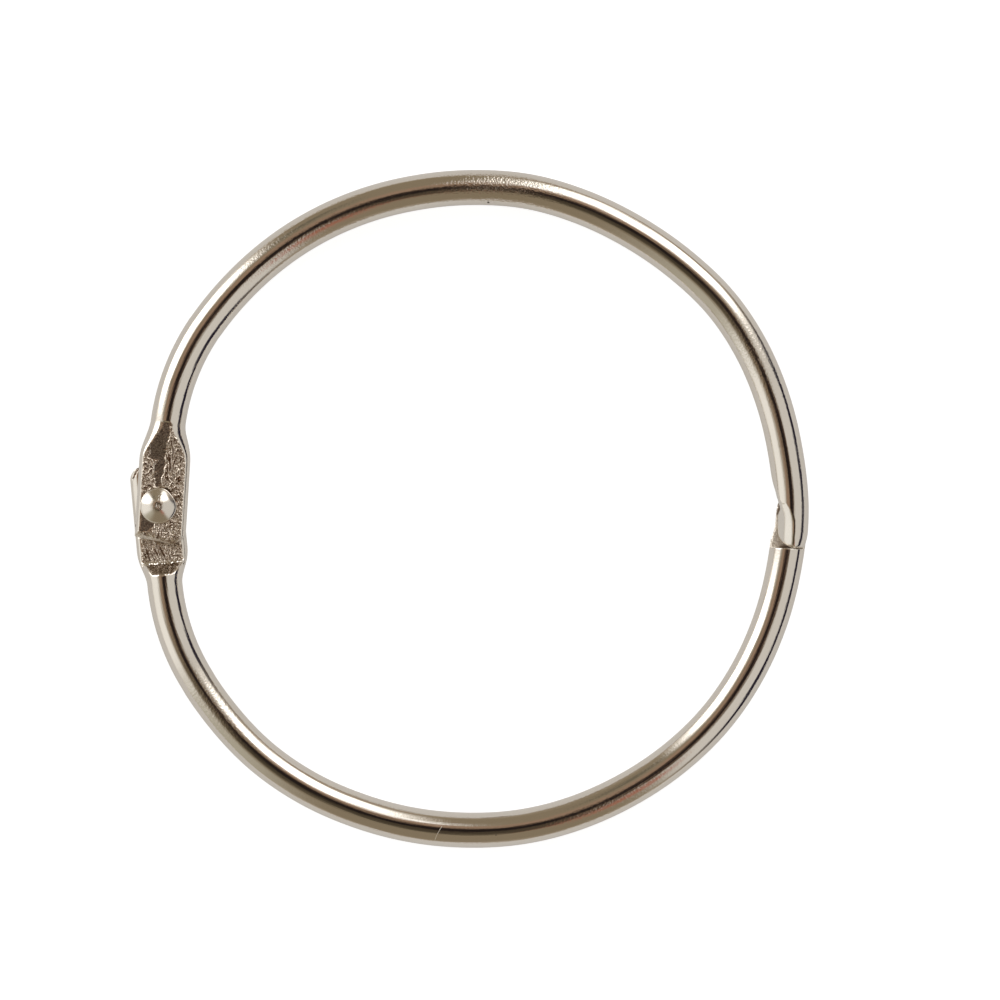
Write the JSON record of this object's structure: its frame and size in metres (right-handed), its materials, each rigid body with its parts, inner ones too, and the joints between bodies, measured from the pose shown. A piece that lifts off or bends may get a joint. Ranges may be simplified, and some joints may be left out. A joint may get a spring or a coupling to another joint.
{
  "type": "hinged curtain ring",
  "caption": "Round wire ring in two halves, riveted together at one side and lapped at the other, so that it swings open to go over a rod.",
  "frame": {"origin": "the middle of the ring, halfway through the wire's thickness", "axes": "+Z out of the ring's plane, on the side of the rivet's domed head; +X from the middle to the clasp, so the rivet is at -X; +Y over the upper half ring"},
  "size_m": [0.0568, 0.0568, 0.0039],
  "materials": {
    "plated_wire": "bright nickel plate over steel wire, ears stamped rough",
    "plated_rivet": "bright nickel plate over a steel rivet"
  },
  "bodies": {
    "lower_half": {"lower_half_ring": "plated_wire", "hinge_rivet": "plated_rivet"},
    "upper_half": {"upper_half_ring": "plated_wire"}
  },
  "joints": [
    {"name": "ring_hinge", "type": "hinge", "parent": "lower_half", "child": "upper_half", "pos_m": [-0.02602, 0, 0], "axis": [0, 0, 1], "range_deg": [0, 144]}
  ]
}
